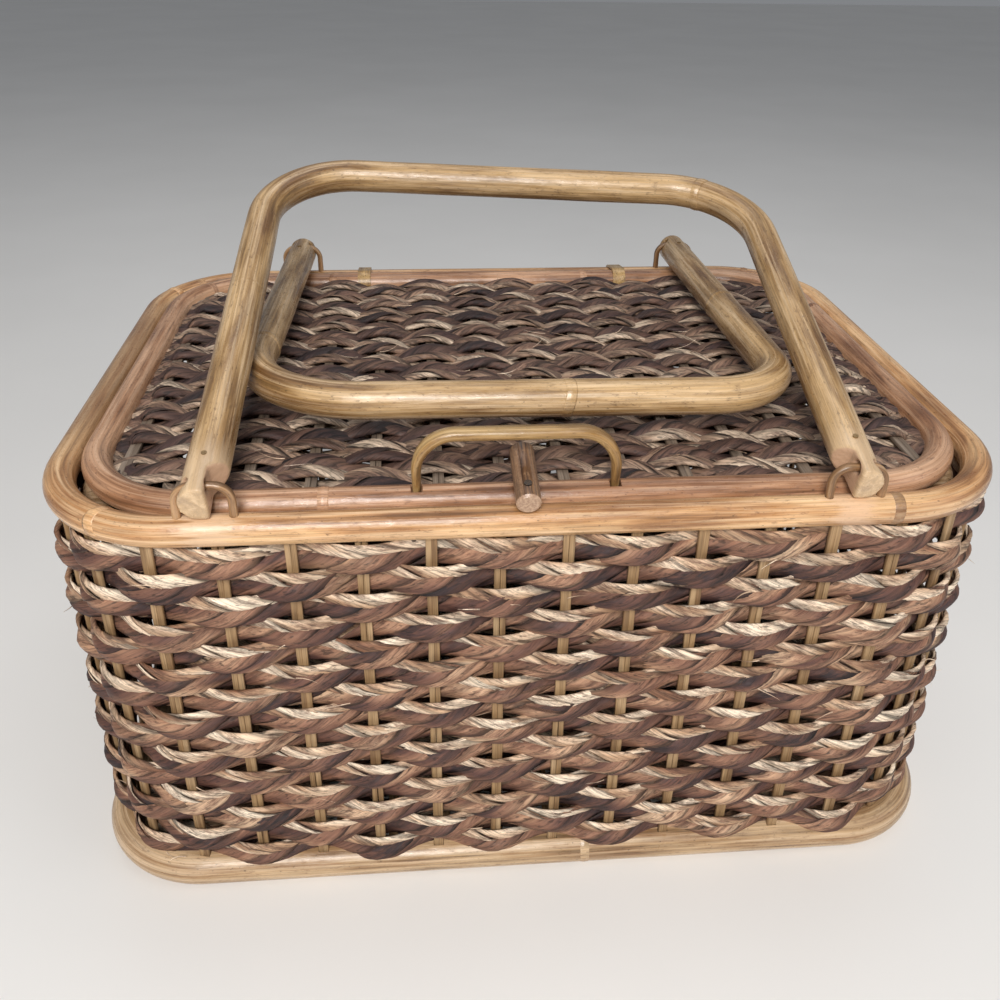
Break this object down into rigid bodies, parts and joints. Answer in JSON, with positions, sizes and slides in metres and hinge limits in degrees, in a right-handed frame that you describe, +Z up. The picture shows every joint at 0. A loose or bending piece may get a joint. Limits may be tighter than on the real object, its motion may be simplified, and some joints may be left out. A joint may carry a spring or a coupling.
{
  "type": "lidded rattan hamper basket",
  "caption": "Low rectangular hamper basket of braided bark over reed stakes, with rattan pole rims, a hinged lid, a turn button, a pull and a pair of swinging handles.",
  "frame": {"origin": "on the floor, under the middle of the base ring", "axes": "+X to the hamper's right seen from the front, +Y to the back where the lid is hinged, +Z up"},
  "size_m": [0.4846, 0.3636, 0.3299],
  "materials": {
    "rim_cane": "satin varnished rattan pole",
    "base_cane": "pale rattan pole",
    "lid_cane": "satin varnished rattan pole",
    "handle_cane": "satin olive-tan rattan pole",
    "split_cane": "satin split cane",
    "wall_reed": "flat reed",
    "lid_reed": "flat reed, greyed",
    "wall_braid": "braided bark strips",
    "lid_braid": "braided bark strips, greyed",
    "dark_wood": "dark stained dowel",
    "nail_steel": "dull steel"
  },
  "bodies": {
    "root": {"rim_ring": "rim_cane", "base_ring": "base_cane", "base_weave": "wall_braid", "base_stakes": "wall_reed", "lid_ledge": "base_cane", "ledge_pins": "nail_steel", "lid_ring": "lid_cane", "lid_weave": "lid_braid", "lid_stakes": "lid_reed", "lid_pull": "split_cane", "hinge_band_left": "split_cane", "hinge_band_right": "split_cane", "button_nail": "nail_steel", "front_stakes": "wall_reed", "right_stakes": "wall_reed", "back_stakes": "wall_reed", "left_stakes": "wall_reed", "wall_weave_front": "wall_braid", "wall_weave_back": "wall_braid", "wall_weave_left": "wall_braid", "wall_weave_right": "wall_braid", "wall_weave_front_left_corner": "wall_braid", "wall_weave_front_right_corner": "wall_braid", "wall_weave_back_left_corner": "wall_braid", "wall_weave_back_right_corner": "wall_braid", "front_handle_arch_left": "split_cane", "front_handle_arch_right": "split_cane", "rear_handle_arch_left": "split_cane", "rear_handle_arch_right": "split_cane"},
    "front_handle": {"front_handle": "handle_cane", "front_handle_tacks": "nail_steel"},
    "rear_handle": {"rear_handle": "handle_cane", "rear_handle_tacks": "nail_steel"},
    "turn_button": {"turn_button": "dark_wood"}
  },
  "joints": [
    {"name": "front_handle_swing", "type": "hinge", "parent": "root", "child": "front_handle", "pos_m": [0, -0.1695, 0.25], "axis": [1, 0, 0], "range_deg": [0, 210]},
    {"name": "rear_handle_swing", "type": "hinge", "parent": "root", "child": "rear_handle", "pos_m": [0, 0.1695, 0.252], "axis": [-1, 0, 0], "range_deg": [0, 87.9]},
    {"name": "turn_button_swivel", "type": "hinge", "parent": "root", "child": "turn_button", "pos_m": [-0.0087, -0.169, 0.2417], "axis": [0, -0.225, 0.9744], "range_deg": [-90, 90]}
  ],
  "couplings": [
    {"joint": "rear_handle_swing", "follows": "front_handle_swing", "ratio": 0.4185}
  ]
}
